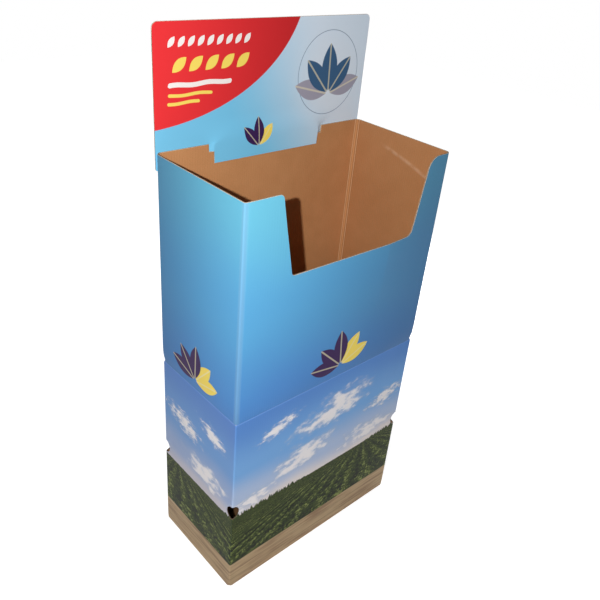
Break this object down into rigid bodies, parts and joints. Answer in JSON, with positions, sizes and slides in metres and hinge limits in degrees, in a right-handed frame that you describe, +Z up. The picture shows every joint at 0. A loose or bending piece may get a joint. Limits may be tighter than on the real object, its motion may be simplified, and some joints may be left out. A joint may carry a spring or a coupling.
{
  "type": "cardboard display bin",
  "caption": "Tall printed cardboard display bin with a front cut-out, a slotted header card and a raised false floor for loose goods.",
  "frame": {"origin": "middle of the sleeve's footprint, on the ground", "axes": "+Z up; +X to the bin's right as seen from the front; the front wall with the cut-out faces -Y and the header card stands on the +Y wall"},
  "size_m": [0.608, 0.3223, 1.345],
  "materials": {
    "bin_sleeve": "printed corrugated board, blue sky over green field outside, bare kraft inside",
    "header_card": "printed card, light blue with a red field",
    "floor_tray": "bare kraft corrugated board",
    "long_support": "bare kraft corrugated board",
    "short_support_left": "bare kraft corrugated board",
    "short_support_right": "bare kraft corrugated board"
  },
  "bodies": {
    "root": {"bin_sleeve": "bin_sleeve", "header_card": "header_card", "floor_tray": "floor_tray", "long_support": "long_support", "short_support_left": "short_support_left", "short_support_right": "short_support_right"}
  },
  "joints": []
}
